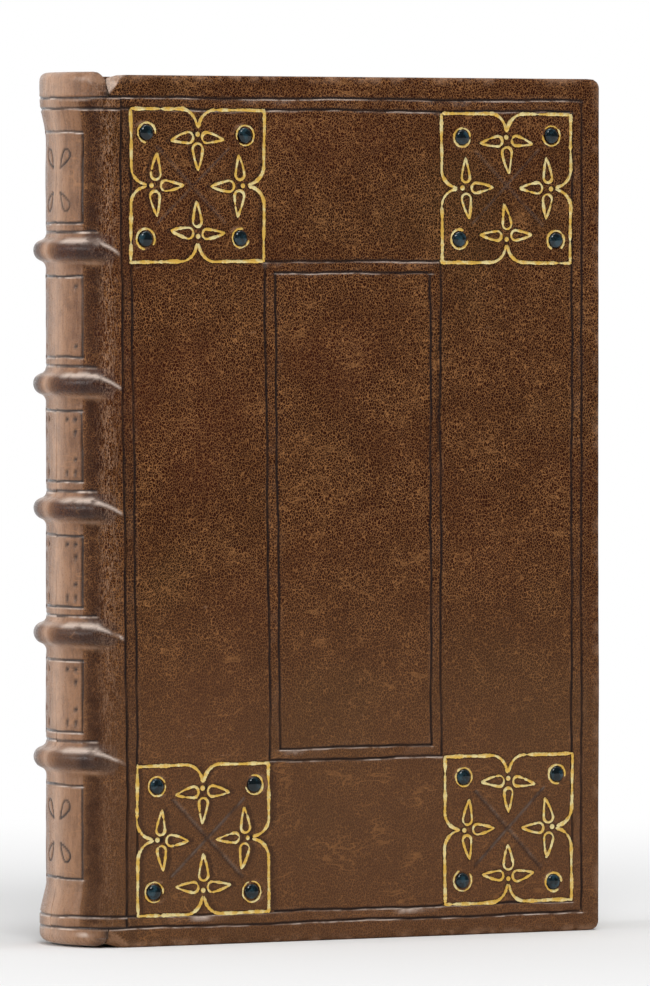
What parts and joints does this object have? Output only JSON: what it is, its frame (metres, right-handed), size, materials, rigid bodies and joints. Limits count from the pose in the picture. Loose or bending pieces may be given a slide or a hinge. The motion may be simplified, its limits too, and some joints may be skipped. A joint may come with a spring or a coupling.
{
  "type": "antique leather book",
  "caption": "Small hand-bound book in full brown leather, with raised bands, blind fillets, gilt corner ornaments and set stones; both covers open.",
  "frame": {"origin": "on the standing surface, under the middle of the closed book", "axes": "+X from the spine to the fore edge, +Y from the front cover to the back cover, +Z from the tail to the head"},
  "size_m": [0.137, 0.0302, 0.1967],
  "materials": {
    "leather": "pebble-grained goatskin, worn and polished",
    "gilding": "gold leaf pressed in with hand tools",
    "set_stone": "polished dark dome",
    "paper": "aged, uncut smooth edges",
    "endpaper": "aged, plain",
    "board": "rolled rope-fibre board",
    "lining": "glued linen",
    "cord": "twisted hemp",
    "endband": "wound silk"
  },
  "bodies": {
    "text_block": {"text_block": "paper", "spine_lining": "lining", "head_endband": "endband", "tail_endband": "endband", "spine_leather": "leather", "sewing_cord_1": "cord", "sewing_cord_2": "cord", "sewing_cord_3": "cord", "sewing_cord_4": "cord", "sewing_cord_5": "cord"},
    "front_cover": {"front_board": "board", "front_cover_leather": "leather", "front_pastedown": "endpaper", "gilding_head_joint": "gilding", "gilding_head_fore": "gilding", "gilding_tail_joint": "gilding", "gilding_tail_fore": "gilding", "stone_1": "set_stone", "stone_2": "set_stone", "stone_3": "set_stone", "stone_4": "set_stone", "stone_5": "set_stone", "stone_6": "set_stone", "stone_7": "set_stone", "stone_8": "set_stone", "stone_9": "set_stone", "stone_10": "set_stone", "stone_11": "set_stone", "stone_12": "set_stone", "stone_13": "set_stone", "stone_14": "set_stone", "stone_15": "set_stone", "stone_16": "set_stone"},
    "back_cover": {"back_board": "board", "back_cover_leather": "leather", "back_pastedown": "endpaper"}
  },
  "joints": [
    {"name": "front_cover_hinge", "type": "hinge", "parent": "text_block", "child": "front_cover", "pos_m": [-0.05985, -0.0136, 0.098], "axis": [0, 0, -1], "range_deg": [0, 160]},
    {"name": "back_cover_hinge", "type": "hinge", "parent": "text_block", "child": "back_cover", "pos_m": [-0.05985, 0.0144, 0.098], "axis": [0, 0, 1], "range_deg": [0, 160]}
  ]
}
